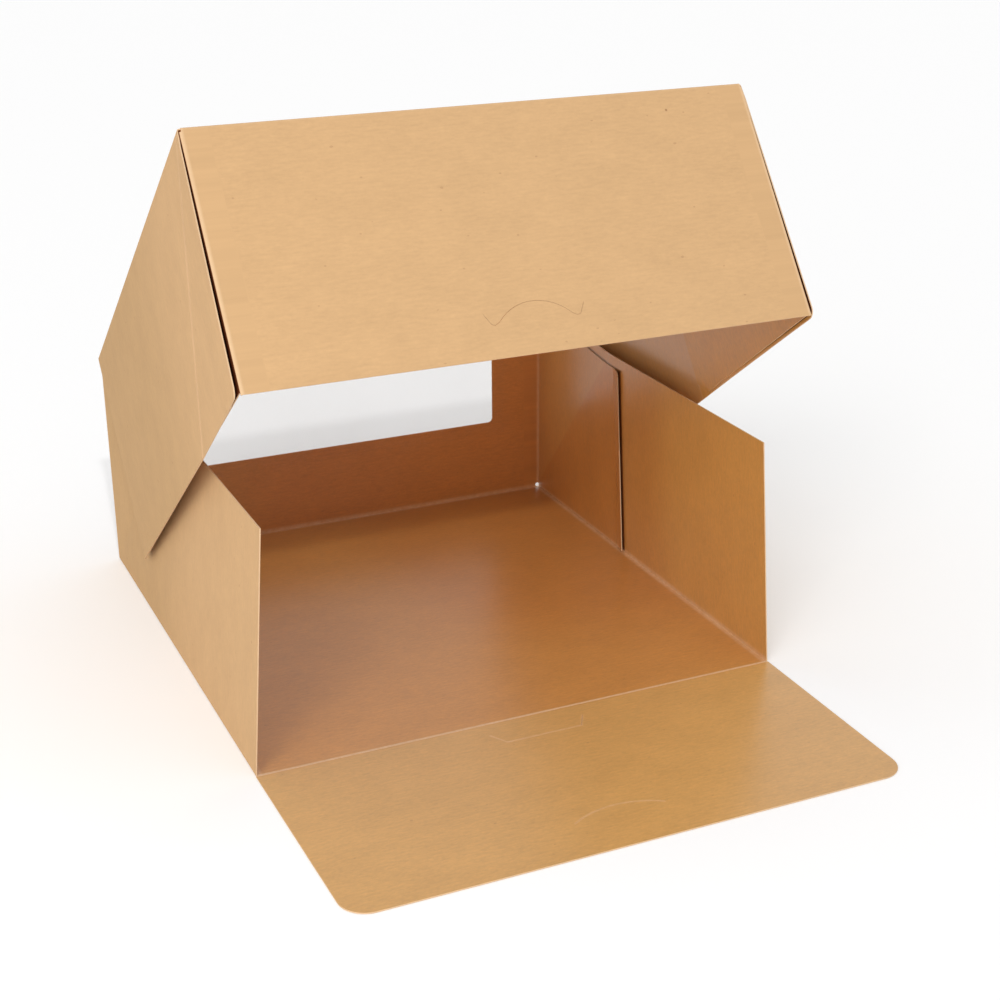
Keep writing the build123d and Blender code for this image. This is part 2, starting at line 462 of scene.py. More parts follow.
@dataclass(frozen=True)
class FibreLayer:
    """One layer of the board's noise: its changes per millimetre along and across the fibres.

    Attributes:
        along: Changes per millimetre along the fibres.
        across: Changes per millimetre across them.
        turn: How far the pattern moves on from a level panel to an upright one.
        detail: How many finer layers it has.
    """

    along: float
    across: float
    turn: float
    detail: float

    def lay(self, finish: Finish, fibres: Place) -> Amount:
        """Lays the layer.

        Args:
            finish: The finish that it is part of.
            fibres: The place along the fibres and across them, and 1 on an upright side panel.

        Returns:
            The noise, about 0 to 1.
        """
        along, across, upright = fibres
        return finish.noise((along * self.along, across * self.across, upright * self.turn), self.detail)


@dataclass(frozen=True)
class KraftBoard:
    """Kraft board on one of its sides, with its grain, specks and marks."""

    name: str
    side: Side
    marks: tuple[Mark, ...] = ()
    on_lid: bool = False
    upright_from: float = 128.0
    bottom_fold: Flat = (1.2, 1.6)
    streaks: FibreLayer = FibreLayer(along=0.16, across=0.7, turn=7.0, detail=3.0)
    clouds: FibreLayer = FibreLayer(along=0.035, across=0.06, turn=3.0, detail=2.0)
    grit: FibreLayer = FibreLayer(along=0.55, across=0.9, turn=5.0, detail=2.0)
    specks: FibreLayer = FibreLayer(along=0.3, across=0.45, turn=11.0, detail=0.0)
    speck_peaks: Flat = (0.83, 0.87)
    speck_strength: float = 0.25
    speck_colour: Colour = srgb(128, 82, 46)
    streak_relief: float = 0.6
    grit_relief: float = 0.4
    streak_roughness: float = 0.12

    def fibres(self, place: Place) -> Place:
        """Follows the fibres, which run across the level panels and up the side panels.

        Args:
            place: The place in millimetres.

        Returns:
            The place along the fibres and across them, and 1 on an upright side panel.
        """
        x, y, z = place
        upright = abs(x).rise(self.upright_from, self.upright_from + 0.5)
        if not self.on_lid:
            upright = upright * z.rise(*self.bottom_fold)
        return x * (1 - upright) + z * upright, y + z * (1 - upright), upright

    def make(self) -> bpy.types.Material:
        """Builds the material.

        Returns:
            The material.
        """
        tone = TONES[self.side]
        finish = Finish(self.name)
        place = LID.flat(finish) if self.on_lid else (finish.x, finish.y, finish.z)
        fibres = self.fibres(place)
        streaks = self.streaks.lay(finish, fibres)
        clouds = self.clouds.lay(finish, fibres)
        grit = self.grit.lay(finish, fibres)
        shade = 1 + (streaks - 0.5) * tone.grain + (clouds - 0.5) * tone.clouds + (grit - 0.5) * tone.grit
        colour = finish.plain(tone.colour)
        # The broad tints of painted light and shade go under the grain.
        for tint in (mark for mark in self.marks if mark.under_grain):
            colour = finish.mix(tint.share(finish, place), colour, tint.colour)
        colour = finish.shade(colour, shade)
        specks = self.specks.lay(finish, fibres).rise(*self.speck_peaks)
        colour = finish.mix(specks * self.speck_strength, colour, self.speck_colour)
        for mark in (mark for mark in self.marks if not mark.under_grain):
            colour = finish.mix(mark.share(finish, place), colour, mark.colour)
        relief = streaks * self.streak_relief + grit * self.grit_relief
        roughness = tone.roughness + (streaks - 0.5) * self.streak_roughness
        finish.dress(colour, relief, roughness, tone.gloss)
        return finish.material


@dataclass(frozen=True)
class ClearFilm:
    """The window's thin clear film, hazy where it spans the opening and clear where it is glued."""

    opening_half: float
    opening_low: float
    opening_reach: float
    name: str = "clear_film"
    haze: float = 0.10
    glued_haze: float = 0.015
    ripple: float = 0.03
    ripple_rate: float = 0.02
    soft: float = 0.1
    tone: Colour = (0.54, 0.56, 0.57)
    roughness: float = 0.08

    def make(self) -> bpy.types.Material:
        """Builds the material.

        Returns:
            The material.
        """
        finish = Finish(self.name)
        x, y, _ = LID.flat(finish)
        over_lid = y.rise(-self.opening_reach - self.soft, -self.opening_reach + self.soft)
        over_wall = finish.z.rise(self.opening_low - self.soft, self.opening_low + self.soft)
        between = abs(x).rise(self.opening_half + self.soft, self.opening_half - self.soft)
        ripple = finish.noise(tuple(p * self.ripple_rate for p in (finish.x, finish.y, finish.z)), 1.0)
        spanning = self.haze - self.glued_haze + (ripple - 0.5) * self.ripple
        haze = self.glued_haze + over_lid * over_wall * between * spanning
        finish.shader.inputs["Base Color"].default_value = (*self.tone, 1.0)
        finish.shader.inputs["Roughness"].default_value = self.roughness
        finish.tree.links.new(haze.socket, finish.shader.inputs["Alpha"])
        return finish.material


def stand(name: str, mesh: bmesh.types.BMesh, materials: list[bpy.types.Material]) -> bpy.types.Object:
    """Makes an object of a finished mesh.

    Args:
        name: The piece's name.
        mesh: Its mesh, which is used up.
        materials: Its materials, in the order of the faces' numbers.

    Returns:
        The object, in the scene.
    """
    data = bpy.data.meshes.new(name)
    mesh.to_mesh(data)
    mesh.free()
    for material in materials:
        data.materials.append(material)
    piece = bpy.data.objects.new(name, data)
    bpy.context.scene.collection.objects.link(piece)
    return piece


@dataclass
class FoldedBoard:
    """A folded part of the board, as a skin over its CAD node with the board's three finishes.

    Attributes:
        node: The CAD node that it stands for.
        body: The body that it rides on.
        heart: A place on the inner side of all its panels, in metres.
        board: The board's thickness.
        thickest: Depth behind a face, in boards, up to which the face is a broad one.
        probe_start: How far under a face its probe starts.
        probe_reach: How far the probe looks.
        flat_angle: Angle in degrees up to which neighbouring faces are merged.
        sharp_angle: Angle in degrees from which an edge shades sharp.
    """

    node: str
    body: Body
    heart: Point
    board: float = 0.6
    thickest: float = 2.4
    probe_start: float = 0.02
    probe_reach: float = 10.0
    flat_angle: float = 0.3
    sharp_angle: float = 12.0

    def to_rest(self) -> Matrix:
        """Carries the part's own directions to the rest pose."""
        return Matrix.Identity(4)

    def marks(self, side: Side) -> tuple[Mark, ...]:
        """The worn folds, cuts and shades on one side of the board."""
        return ()

    def shape(self, mesh: bmesh.types.BMesh) -> None:
        """Refines the part's mesh in its own directions; a plain part needs nothing."""

    def dress(self) -> list[bpy.types.Material]:
        """Makes the three finishes.

        Returns:
            The finishes, in the order of the sides.
        """
        on_lid = self.body is Body.LID
        return [
            KraftBoard(f"{self.node}_{side.name.lower()}", side, self.marks(side), on_lid).make()
            for side in Side
        ]

    def build(self) -> bpy.types.Object:
        """Makes the piece, dresses it and lets it stand for its node.

        Returns:
            The piece.
        """
        mesh = bmesh.new()
        mesh.from_mesh(frame["nodes"][self.node].data)
        bmesh.ops.transform(mesh, matrix=self.to_rest().inverted(), verts=mesh.verts)
        bmesh.ops.remove_doubles(mesh, verts=mesh.verts, dist=1e-6)
        bmesh.ops.dissolve_limit(
            mesh, angle_limit=math.radians(self.flat_angle), verts=mesh.verts, edges=mesh.edges
        )
        self.tell_sides(mesh)
        self.shape(mesh)
        for face in mesh.faces:
            face.smooth = True
        bmesh.ops.transform(mesh, matrix=self.to_rest(), verts=mesh.verts)
        piece = stand(f"{self.node}_board", mesh, self.dress())
        piece.data.set_sharp_from_angle(angle=math.radians(self.sharp_angle))
        shading = piece.modifiers.new("broad faces shade flat", "WEIGHTED_NORMAL")
        shading.keep_sharp = True
        shading.weight = 100
        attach(piece, self.body.value)
        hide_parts(self.node)
        log.info("%s: %d faces", piece.name, len(piece.data.polygons))
        return piece

    def tell_sides(self, mesh: bmesh.types.BMesh) -> None:
        """Numbers each face as outer, inner or cut, by how thick the board is behind it.

        Args:
            mesh: The part's mesh, with one face to each flat panel.
        """
        solid = BVHTree.FromBMesh(mesh)
        mesh.faces.index_update()
        largest, middles = {}, {}
        for loops in mesh.calc_loop_triangles():
            a, b, c = (loop.vert.co for loop in loops)
            index, area = loops[0].face.index, (b - a).cross(c - a).length
            if area > largest.get(index, -1.0):
                largest[index], middles[index] = area, (a + b + c) / 3
        for face in mesh.faces:
            middle, normal = middles[face.index], face.normal
            *_, depth = solid.ray_cast(
                middle - normal * self.probe_start * MM, -normal, self.probe_reach * MM
            )
            if depth is None or depth > self.thickest * self.board * MM:
                side = Side.CUT
            elif (middle - Vector(self.heart)).dot(normal) > 0:
                side = Side.OUTER
            else:
                side = Side.INNER
            face.material_index = side.value


# Pale marks, from the palest: bared fibres, also laid as painted sheen and highlight on folds and edges;
# the lips of the cuts, partly a painted highlight; a painted highlight on the lid's front corner fold.
CRACK_AND_HIGHLIGHT = srgb(228, 194, 158)
SCUFF_AND_HIGHLIGHT = srgb(224, 178, 130)
FOLD_HIGHLIGHT = srgb(213, 179, 140)
# A painted grey sheen, a speck, and painted shade where little light comes.
PAINTED_SHEEN = srgb(186, 146, 116)
SPECK = srgb(120, 80, 50)
DEEP = srgb(104, 50, 20)
SHADE = srgb(92, 46, 18)
# Painted shade and light on the inner side: redder and darker at the rear and on the lid's
# corner flaps, and paler in front.
SHADED_FLOOR = (0.360, 0.110, 0.023)
SHADED_WALL = (0.545, 0.195, 0.041)
SHADED_CORNER = (0.520, 0.213, 0.048)
SHADED_FLAP = (0.575, 0.250, 0.036)
LIT_WALL = (0.655, 0.372, 0.100)
LIT_FLAP = (0.600, 0.324, 0.100)
# Painted shade on the outer side panels towards the rear.
REAR_SHADE = (0.480, 0.300, 0.143)


@dataclass
class Tray(FoldedBoard):
    """The bottom, leaning side walls, rear wall and the two rear corner flaps.

    A tint's pair of places gives where it starts and where it is whole.
    """

    node: str = "tray"
    body: Body = Body.TRAY
    heart: Point = (0.0, 0.0, 0.06)
    half: float = 140.0
    wall_height: float = 124.5
    wall_lean: float = 9.0
    fold_height: float = 1.2
    flap_foot: float = 18.7
    flap_rake: float = 6.0
    flap_loose: float = 8.0
    flap_low_end: float = 117.0
    flap_tall_end: float = 122.0
    rear_shade_along: Flat = (-40.0, 130.0)
    shaded_bottom_along: Flat = (-100.0, 30.0)
    shaded_bottom_across: Flat = (-40.0, 80.0)
    lit_along: Flat = (-5.0, -85.0)
    corner_along: Flat = (9.0, 12.0)
    shaded_rear_across: Flat = (-110.0, 30.0)
    scuff_start: Flat = (-60.0, 3.4)
    scuff_end: Flat = (-136.0, 2.4)

    def past_wall(self, x: Amount, z: Amount) -> Amount:
        """How far a place lies out past the inner face of a leaning side wall.

        Args:
            x: The place across the box.
            z: Its height.

        Returns:
            The distance, below 0 inside the box.
        """
        lean = self.wall_lean / (self.wall_height - self.fold_height)
        return abs(x) - (self.half - self.board - (z - self.fold_height) * lean)

    def rear_shade_walls(self, x: Amount, y: Amount, z: Amount) -> Amount:
        """Painted shade on the outside of the side walls towards the rear, without the rear wall.

        Args:
            x: The place across the box.
            y: Its place along the box.
            z: Its height.

        Returns:
            1 where the painted shade is darkest, 0 where there is none.
        """
        wall_top = self.half - self.wall_lean
        on_side = abs(x).rise(wall_top - 5.0, wall_top - 3.0)
        return on_side * y.rise(*self.rear_shade_along) * y.rise(self.half - 0.1, self.half - 0.3)

    def shaded_bottom(self, x: Amount, y: Amount, z: Amount) -> Amount:
        """Painted shade, redder and darker, on the bottom towards its rear right corner."""
        on_bottom = z.rise(self.fold_height + 0.4, self.fold_height - 0.2)
        return on_bottom * y.rise(*self.shaded_bottom_along) * x.rise(*self.shaded_bottom_across)

    def lit_front(self, x: Amount, y: Amount, z: Amount) -> Amount:
        """Painted light, paler, on the inner faces of the side walls towards the front."""
        on_wall = self.past_wall(x, z).rise(-0.6, -0.3)
        return on_wall * y.rise(*self.lit_along) * z.rise(self.fold_height, 4.0)

    def shaded_corner(self, x: Amount, y: Amount, z: Amount) -> Amount:
        """Painted shade, redder and darker, on the rear corner flaps."""
        on_flap = self.past_wall(x, z).within(-4.0, -0.45, 0.05)
        return on_flap * y.rise(*self.corner_along) * z.rise(self.fold_height + 0.4, 2.4)

    def shaded_rear(self, x: Amount, y: Amount, z: Amount) -> Amount:
        """Painted shade, redder and darker, on the rear wall's inner face towards the right."""
        return y.rise(self.half - 1.7, self.half - 1.2) * x.rise(*self.shaded_rear_across)

    def slit(self, x: Amount, y: Amount, z: Amount) -> Amount:
        """The wall behind a rear corner flap's loose end, where little light comes.

        Args:
            x: The place across the box.
            y: Its place along the box.
            z: Its height.

        Returns:
            1 in the slit, 0 elsewhere.
        """
        rake = (z - self.fold_height) * (self.flap_rake / (self.wall_height - self.fold_height))
        behind_end = (y - self.flap_foot + rake).within(0.2, self.flap_loose, 0.3)
        on_wall = self.past_wall(x, z).rise(-0.55, -0.35)
        return behind_end * on_wall * z.within(self.fold_height + 0.4, self.flap_low_end, 0.4)

    def flap_top(self, x: Amount, y: Amount, z: Amount) -> Amount:
        """Distance from the thin shade on the wall above a rear corner flap's sloping top edge.

        Args:
            x: The place across the box.
            y: Its place along the box.
            z: Its height.

        Returns:
            The distance.
        """
        start = (self.flap_foot - self.flap_rake, self.flap_low_end + 0.5)
        line = from_segment(y, z, start, (self.half - 1.2, self.flap_tall_end + 0.5))
        return line + self.past_wall(x, z).rise(-0.35, -0.55) * FAR

    def front_scuff(self, x: Amount, y: Amount, z: Amount) -> Amount:
        """Distance from the scuff on the bottom behind the front fold, on the left.

        Args:
            x: The place across the box.
            y: Its place along the box.
            z: Its height.

        Returns:
            The distance.
        """
        behind_fold = y + self.half
        return from_segment(x, behind_fold, self.scuff_start, self.scuff_end) + z

    def marks(self, side: Side) -> tuple[Mark, ...]:
        """The worn folds and tints of painted light and shade of the tray, painted sheen on its inner
        folds, and the painted shade behind and above its corner flaps.

        Args:
            side: The side of the board.

        Returns:
            The side's marks, in the order in which they are laid.
        """
        half, outer_fold = self.half, self.half - 0.4
        if side is Side.OUTER:
            return (
                Mark.tint(self.rear_shade_walls, REAR_SHADE, strength=0.80),
                Mark(
                    lambda x, y, z: (abs(x) - outer_fold).hypot(z - 0.4),
                    CRACK_AND_HIGHLIGHT, width=1.2, strength=0.35, patchy=0.7,
                ),
                Mark(
                    lambda x, y, z: (abs(x) - outer_fold).hypot(y - outer_fold),
                    CRACK_AND_HIGHLIGHT, width=1.2, strength=0.35, patchy=0.7,
                ),
            )
        if side is Side.CUT:
            return ()
        return (
            Mark.tint(self.shaded_bottom, SHADED_FLOOR, strength=0.92),
            Mark.tint(self.lit_front, LIT_WALL, strength=0.97),
            Mark.tint(self.shaded_corner, SHADED_CORNER, strength=0.90),
            Mark.tint(self.shaded_rear, SHADED_WALL, strength=0.90),
            # Painted sheen on the rounded inner folds, where they catch the light, with some bared fibres.
            Mark(
                lambda x, y, z: (y - half + 0.7).hypot(z - 0.7),
                CRACK_AND_HIGHLIGHT, width=3.0, strength=0.42, patchy=0.35,
            ),
            Mark(
                lambda x, y, z: (abs(x) - half + 1.3).hypot(z - 0.8),
                CRACK_AND_HIGHLIGHT, width=3.0, strength=0.40, patchy=0.4,
            ),
            Mark(
                lambda x, y, z: (abs(x) - half + 1.4).hypot(y - half + 0.8),
                CRACK_AND_HIGHLIGHT, width=1.6, strength=0.34, patchy=0.2,
            ),
            Mark(
                lambda x, y, z: abs(y + half) + z.rise(0.8, 4.0) * FAR,
                CRACK_AND_HIGHLIGHT, width=0.9, strength=0.70, patchy=0.35,
            ),
            Mark(self.front_scuff, SCUFF_AND_HIGHLIGHT, width=1.1, strength=0.35, patchy=0.9),
            # Painted shade in the slit behind each corner flap's loose end and on the wall above its top
            # edge.
            Mark.painted_light_patch(self.slit, DEEP, strength=0.95),
            Mark(self.flap_top, SHADE, width=1.0, strength=0.75),
        )


@dataclass
class FrontFlap(FoldedBoard):
    """The front flap, lying on the table, with its slot and thumb notch."""

    node: str = "front_flap"
    body: Body = Body.FLAP
    heart: Point = (0.0, -0.2, 1.0)
    hinge: float = -140.6
    slot_y: float = -160.6
    slot_half: float = 20.0
    slot_end: Flat = (25.0, -151.6)
    notch_y: float = -232.6
    notch_radius: float = 41.29
    notch_half: float = 23.0
    notch_depth: float = 7.4

    def lit_panel(self, x: Amount, y: Amount, z: Amount) -> Amount:
        """Painted light, paler, over the whole flap in front of its fold."""
        return y.rise(self.hinge - 0.5, self.hinge - 3.0)

    def hinge_line(self, x: Amount, y: Amount, z: Amount) -> Amount:
        """Distance from the flap's edge at the fold."""
        return abs(y - self.hinge - 0.1)

    def slot_line(self, x: Amount, y: Amount, z: Amount) -> Amount:
        """Distance from the slot's cut."""
        level = from_segment(abs(x), y, (-1.0, self.slot_y), (self.slot_half, self.slot_y))
        return level.least(from_segment(abs(x), y, (self.slot_half, self.slot_y), self.slot_end))

    def notch_line(self, x: Amount, y: Amount, z: Amount) -> Amount:
        """Distance from the thumb notch's cut.

        Args:
            x: The place across the flap.
            y: Its place along the flap.
            z: Its height.

        Returns:
            The distance.
        """
        arc = abs(x.hypot(y - self.notch_y + self.notch_radius) - self.notch_radius)
        past_ends = abs(x).rise(self.notch_half, self.notch_half + 1.0)
        foot = self.notch_y - self.notch_depth
        return arc + past_ends * FAR + y.rise(foot, foot - 1.0) * FAR

    def marks(self, side: Side) -> tuple[Mark, ...]:
        """The worn hinge edge, the painted light over the flap, and the slot and notch, whose pale lips are
        partly a painted highlight.

        Args:
            side: The side of the board.

        Returns:
            The side's marks, in the order in which they are laid.
        """
        if side is not Side.INNER:
            return ()
        return (
            Mark.tint(self.lit_panel, LIT_FLAP, strength=0.95),
            Mark(self.hinge_line, CRACK_AND_HIGHLIGHT, width=0.9, strength=0.65, patchy=0.35),
            # The cut lips are pale partly as a painted highlight, where the cut edges catch the light.
            Mark(self.slot_line, SCUFF_AND_HIGHLIGHT, width=1.1, strength=0.55, patchy=0.5),
            Mark(self.notch_line, SCUFF_AND_HIGHLIGHT, width=1.1, strength=0.50, patchy=0.6),
        )


@dataclass
class Lid(FoldedBoard):
    """The lid's top, front panel with its thumb tab, side panels and glued corner flaps.

    Its sizes are those of the closed lid, from the hinge line.

    Attributes:
        reach: How far the front panel's outer face is from the hinge.
        low: Height of the lower edges.
        side_front: Where the side panels end in front.
        flap_outside: How far out the glued corner flaps' outer faces are.
        flap_free_end: Where the corner flaps end.
        crease_top: Where the side panels' slanting crease starts.
        crease_run: How far back the crease runs on its way down.
        gap: How far the side panels' front edges bend out.
        gap_length: How far from the front edge the bend starts.
        gap_start: How far below the top the bend is whole.
        bend_cuts: Shares of the bend's length at which the panels are cut to bend.
        level_cuts: Distances below the top at which they are cut.
        corner_radius: Radius of the side panels' lower front corners.
        corner_steps: Faces round that radius.
        slack: How far a place may lie off a face and count as on it.
        sort_slope: A slanting direction, along which no two faces of the lid have one place.
        rear_shade_along: Where the painted shade on the side panels starts, and where it is darkest.
        speck: Place of the one large speck on the front panel, across and up.
    """

    node: str = "lid"
    body: Body = Body.LID
    heart: Point = (0.0, -0.14, -0.06)
    reach: float = 281.7
    low: float = -123.2
    side_front: float = -280.3
    flap_outside: float = 141.0
    flap_free_end: float = -160.7
    crease_top: Flat = (-277.3, -0.6)
    crease_run: float = 82.7
    gap: float = 0.4
    gap_length: float = 34.0
    gap_start: float = 8.0
    bend_cuts: tuple[float, ...] = (0.0, 0.3, 0.55, 0.8)
    level_cuts: tuple[float, ...] = (1.5, 4.0, 8.0, 40.0, 80.0)
    corner_radius: float = 4.5
    corner_steps: int = 6
    slack: float = 0.05
    sort_slope: Point = (1.0, 0.7311, 0.4127)
    rear_shade_along: Flat = (-250.0, -10.0)
    speck: Flat = (95.7, -10.8)

    def to_rest(self) -> Matrix:
        """Carries the closed lid to the rest pose."""
        return LID.matrix

    def shape(self, mesh: bmesh.types.BMesh) -> None:
        """Rounds the side panels' lower front corners and bends their front edges outwards a little.

        Args:
            mesh: The closed lid's mesh.
        """
        self._round_corners(mesh)
        for share in self.bend_cuts:
            self._divide(mesh, (0, 1, 0), (0, (self.side_front + self.gap_length * (1 - share)) * MM, 0))
        for down in self.level_cuts:
            self._divide(mesh, (0, 0, 1), (0, 0, -down * MM))
        for vert in mesh.verts:
            x, y, z = vert.co / MM
            if abs(x) < self.flap_outside - self.slack or z > -0.7 or not self._on_side(vert):
                continue
            front = min(1.0, max(0.0, (self.side_front + self.gap_length - y) / self.gap_length))
            down = min(1.0, max(0.0, (-z - self.board) / self.gap_start))
            vert.co.x += math.copysign(self.gap * front**2 * down * MM, x)
        self._put_in_order(mesh)

    def _put_in_order(self, mesh: bmesh.types.BMesh) -> None:
        """Sorts the mesh by place, because the bevel and the cuts leave its parts in any order.

        Args:
            mesh: The closed lid's mesh.
        """
        slope = Vector(self.sort_slope)
        mesh.verts.sort(key=lambda vert: vert.co.dot(slope))
        mesh.edges.sort(key=lambda edge: (edge.verts[0].co + edge.verts[1].co).dot(slope))
        mesh.faces.sort(key=lambda face: face.calc_center_median().dot(slope))

    def _round_corners(self, mesh: bmesh.types.BMesh) -> None:
        """Rounds the side panels' lower front corners.

        Args:
            mesh: The closed lid's mesh.
        """
        corner, near = Vector((self.side_front * MM, self.low * MM)), 0.4 * MM
        edges = [
            edge
            for edge in mesh.edges
            if all((Vector(v.co.yz) - corner).length < near for v in edge.verts)
            and all(abs(v.co.x) > (self.flap_outside - self.slack) * MM for v in edge.verts)
            and abs(edge.verts[0].co.x - edge.verts[1].co.x) > near
        ]
        bmesh.ops.bevel(
            mesh, geom=edges, offset=self.corner_radius * MM, segments=self.corner_steps, profile=0.5,
            affect="EDGES", material=Side.CUT.value,
        )

    def _on_side(self, vert: bmesh.types.BMVert) -> bool:
        """Whether a corner point belongs to a side panel, and not to the flap that it is glued to.

        Args:
            vert: The corner point.

        Returns:
            True on a side panel.
        """
        outside = (self.flap_outside + 0.02) * MM
        return abs(vert.co.x) > outside or any(
            self._faces_sideways(face) and abs(face.calc_center_median().x) > outside
            for face in vert.link_faces
        )

    @staticmethod
    def _faces_sideways(face: bmesh.types.BMFace) -> bool:
        """Whether a face looks to the left or right."""
        return abs(face.normal.x) > 0.9

    def _divide(self, mesh: bmesh.types.BMesh, normal: Point, point: Point) -> None:
        """Cuts the side panels' faces across, so that they can bend.

        Args:
            mesh: The closed lid's mesh.
            normal: Direction square to the cut.
            point: A point that the cut goes through, in metres.
        """
        rear_end = (self.side_front + self.gap_length * 3) * MM
        inside = (self.flap_outside - 0.7) * MM
        faces = [
            face
            for face in mesh.faces
            if self._faces_sideways(face)
            and face.calc_center_median().y < rear_end
            and min(abs(v.co.x) for v in face.verts) > inside
        ]
        panels = (*faces, *(e for f in faces for e in f.edges), *(v for f in faces for v in f.verts))
        # A dict drops what comes twice and keeps the order, where a set's order changes from run to run.
        geometry = list(dict.fromkeys(panels))
        bmesh.ops.bisect_plane(mesh, geom=geometry, dist=1e-7, plane_co=point, plane_no=normal)

    def rear_shade_sides(self, x: Amount, y: Amount, z: Amount) -> Amount:
        """Painted shade on the side panels' outside towards the hinge."""
        return abs(x).rise(self.flap_outside, self.flap_outside + 0.3) * y.rise(*self.rear_shade_along)

    def front_groove(self, x: Amount, y: Amount, z: Amount) -> Amount:
        """The flaps' fold behind the side panels' front edges, where little light comes."""
        on_fold = self._layer(x, (-0.5, -0.3), (0.1, 0.25))
        return on_fold * y.rise(0.5 - self.reach, 0.9 - self.reach) * z.rise(-0.2, -1.0)

    def front_edge(self, x: Amount, y: Amount, z: Amount) -> Amount:
        """The cut front edges beside the gap, painted dark as shade."""
        beside_gap = abs(x).within(self.flap_outside - 0.2, self.flap_outside + 0.3)
        return beside_gap * y.rise(self.side_front + 0.6, self.side_front + 0.3) * z.rise(-0.2, -1.0)

    def crease(self, x: Amount, y: Amount, z: Amount) -> Amount:
        """Distance from the slanting crease on the side panels' outside.

        Args:
            x: The place across the lid.
            y: Its place along the lid.
            z: Its height.

        Returns:
            The distance.
        """
        foot = (self.crease_top[0] + self.crease_run, self.low)
        off_side = abs(x).rise(self.flap_outside + 0.3, self.flap_outside)
        return from_segment(y, z, self.crease_top, foot) + off_side * FAR

    def large_speck(self, x: Amount, y: Amount, z: Amount) -> Amount:
        """Distance from the front panel's one large speck."""
        across, up = self.speck
        return (x - across).hypot(z - up) + abs(y + self.reach)

    def shaded_flap(self, x: Amount, y: Amount, z: Amount) -> Amount:
        """Painted shade, redder and darker, on the inner faces of the glued corner flaps."""
        on_flap = self._layer(x, (-1.2, -0.9), (-0.45, -0.3))
        return on_flap * y.rise(self.flap_free_end, self.flap_free_end - 1.0)

    def gap_inside(self, x: Amount, y: Amount, z: Amount) -> Amount:
        """Painted shade on the side panels' inner faces over the flaps, down to just above the lower edges.

        Args:
            x: The place across the lid.
            y: Its place along the lid.
            z: Its height.

        Returns:
            1 inside the gap, 0 elsewhere.
        """
        over_flap = y.rise(self.flap_free_end + 0.5, self.flap_free_end - 0.5)
        on_panel = abs(x).rise(self.flap_outside + 0.03, self.flap_outside + 0.2)
        return on_panel * z.rise(self.low + 1.5, self.low + 2.0) * over_flap

    def sheen_strip(self, x: Amount, y: Amount, z: Amount) -> Amount:
        """Painted grey sheen on the side panels' inner faces behind the flaps."""
        on_panel = self._layer(x, (-0.45, -0.25), (0.05, 0.2))
        return on_panel * y.rise(self.flap_free_end - 0.3, self.flap_free_end + 0.3)

    def flap_end(self, x: Amount, y: Amount, z: Amount) -> Amount:
        """Distance from the glued flaps' free ends, which get a painted highlight."""
        off_flap = abs(x).rise(self.flap_outside - 0.3, self.flap_outside - 0.5)
        return abs(y - self.flap_free_end) + off_flap * FAR

    def _layer(self, x: Amount, start: Flat, end: Flat) -> Amount:
        """A layer of the side panels and flaps, told by its distances from the flaps' outer faces.

        Args:
            x: The place across the lid.
            start: Distances at which the layer starts and is whole.
            end: Distances at which it is still whole and ends.

        Returns:
            1 in the layer, 0 elsewhere.
        """
        out = self.flap_outside
        return abs(x).rise(out + start[0], out + start[1]) * abs(x).rise(out + end[1], out + end[0])

    def marks(self, side: Side) -> tuple[Mark, ...]:
        """The worn folds, painted highlights, painted shade in the gaps at the side panels' front edges,
        a soft crease painted lighter, painted sheen and shade inside, and one speck.

        Args:
            side: The side of the board.

        Returns:
            The side's marks, in the order in which they are laid.
        """
        reach, out = self.reach, self.flap_outside
        if side is Side.OUTER:
            return (
                Mark.tint(self.rear_shade_sides, REAR_SHADE, strength=0.80),
                # Painted highlight on the front panel's rounded corner folds.
                Mark(
                    lambda x, y, z: (abs(x) - out + 0.5).hypot(y + reach - 0.1),
                    FOLD_HIGHLIGHT, width=1.7, strength=0.85, patchy=0.15,
                ),
                Mark(
                    lambda x, y, z: (y + reach - 0.3).hypot(z),
                    CRACK_AND_HIGHLIGHT, width=1.2, strength=0.25, patchy=0.6,
                ),
                Mark(self.large_speck, SPECK, width=0.9, strength=0.7),
                # Painted shade in the fold behind the side panels' front edges.
                Mark.painted_light_patch(self.front_groove, DEEP, strength=1.0),
                # A soft crease, painted lighter where the bent board catches more light.
                Mark(self.crease, CRACK_AND_HIGHLIGHT, width=2.6, strength=0.15),
            )
        if side is Side.CUT:
            return (Mark.painted_light_patch(self.front_edge, DEEP, strength=0.9),)
        return (
            Mark.tint(self.shaded_flap, SHADED_FLAP, strength=0.85),
            Mark(lambda x, y, z: (y + reach - 0.6).hypot(z), CRACK_AND_HIGHLIGHT, width=1.8, strength=0.25, patchy=0.5),
            # Painted shade in the gap over the flaps, and painted grey sheen on the panels behind them.
            Mark.painted_light_patch(self.gap_inside, DEEP, strength=1.0),
            Mark.painted_light_patch(self.sheen_strip, PAINTED_SHEEN, strength=0.35, patchy=0.3),
            # Painted highlight on the flaps' free ends.
            Mark(self.flap_end, CRACK_AND_HIGHLIGHT, width=1.0, strength=0.30, patchy=0.3),
        )


